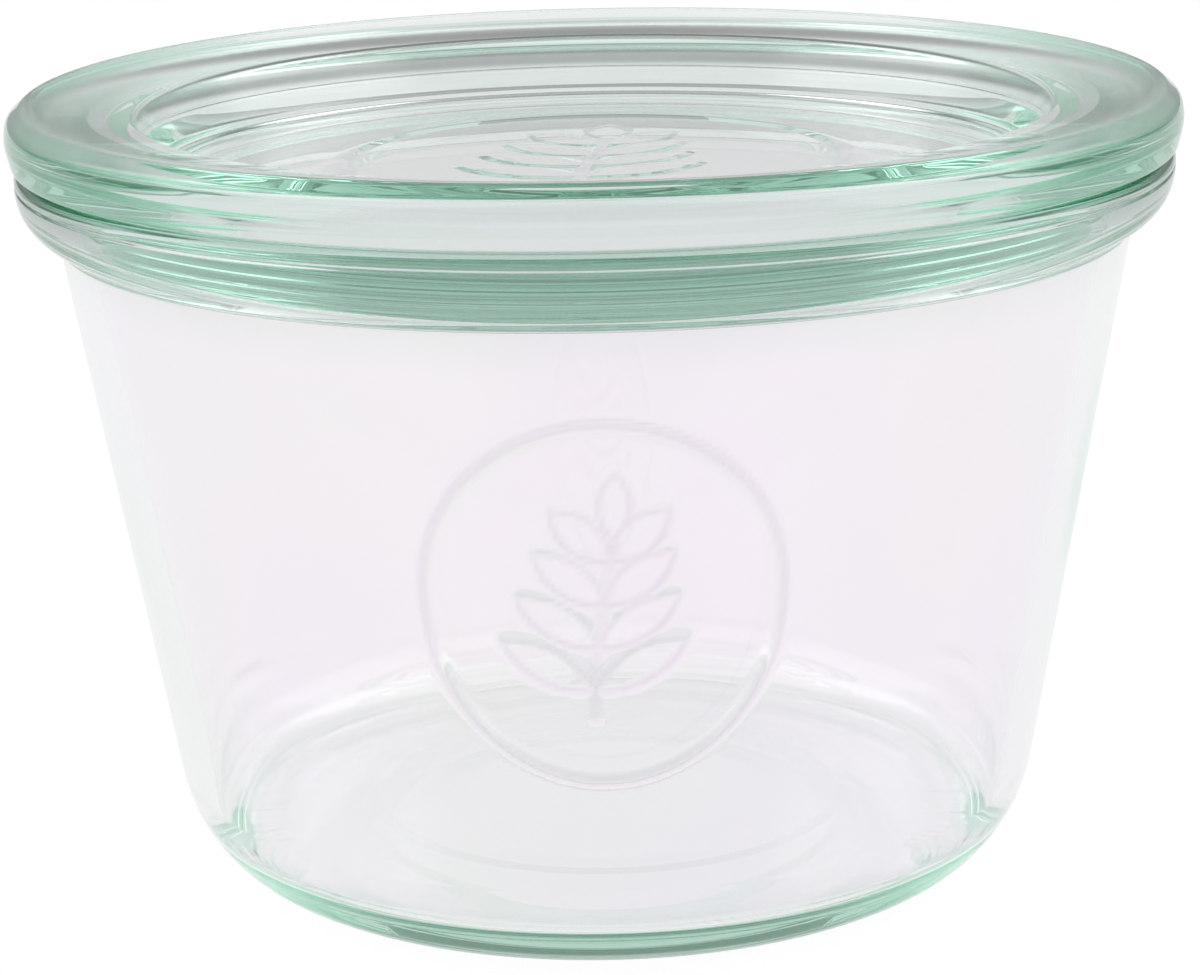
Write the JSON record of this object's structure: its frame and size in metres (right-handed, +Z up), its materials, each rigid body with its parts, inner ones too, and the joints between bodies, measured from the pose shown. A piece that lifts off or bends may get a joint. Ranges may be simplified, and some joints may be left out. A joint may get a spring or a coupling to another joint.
{
  "type": "canning jar",
  "caption": "Squat tapered clear glass canning jar with a flanged rim, closed by a loose dished glass lid.",
  "frame": {"origin": "centre of the foot ring, on the table", "axes": "+Z up along the turning axis through the mouth and lid, X and Y level"},
  "size_m": [0.1092, 0.1092, 0.0737],
  "materials": {
    "jar_glass": "clear soda-lime glass with a faint green tint",
    "lid_glass": "clear soda-lime glass with a faint green tint"
  },
  "bodies": {
    "root": {"jar": "jar_glass", "lid": "lid_glass"}
  },
  "joints": []
}
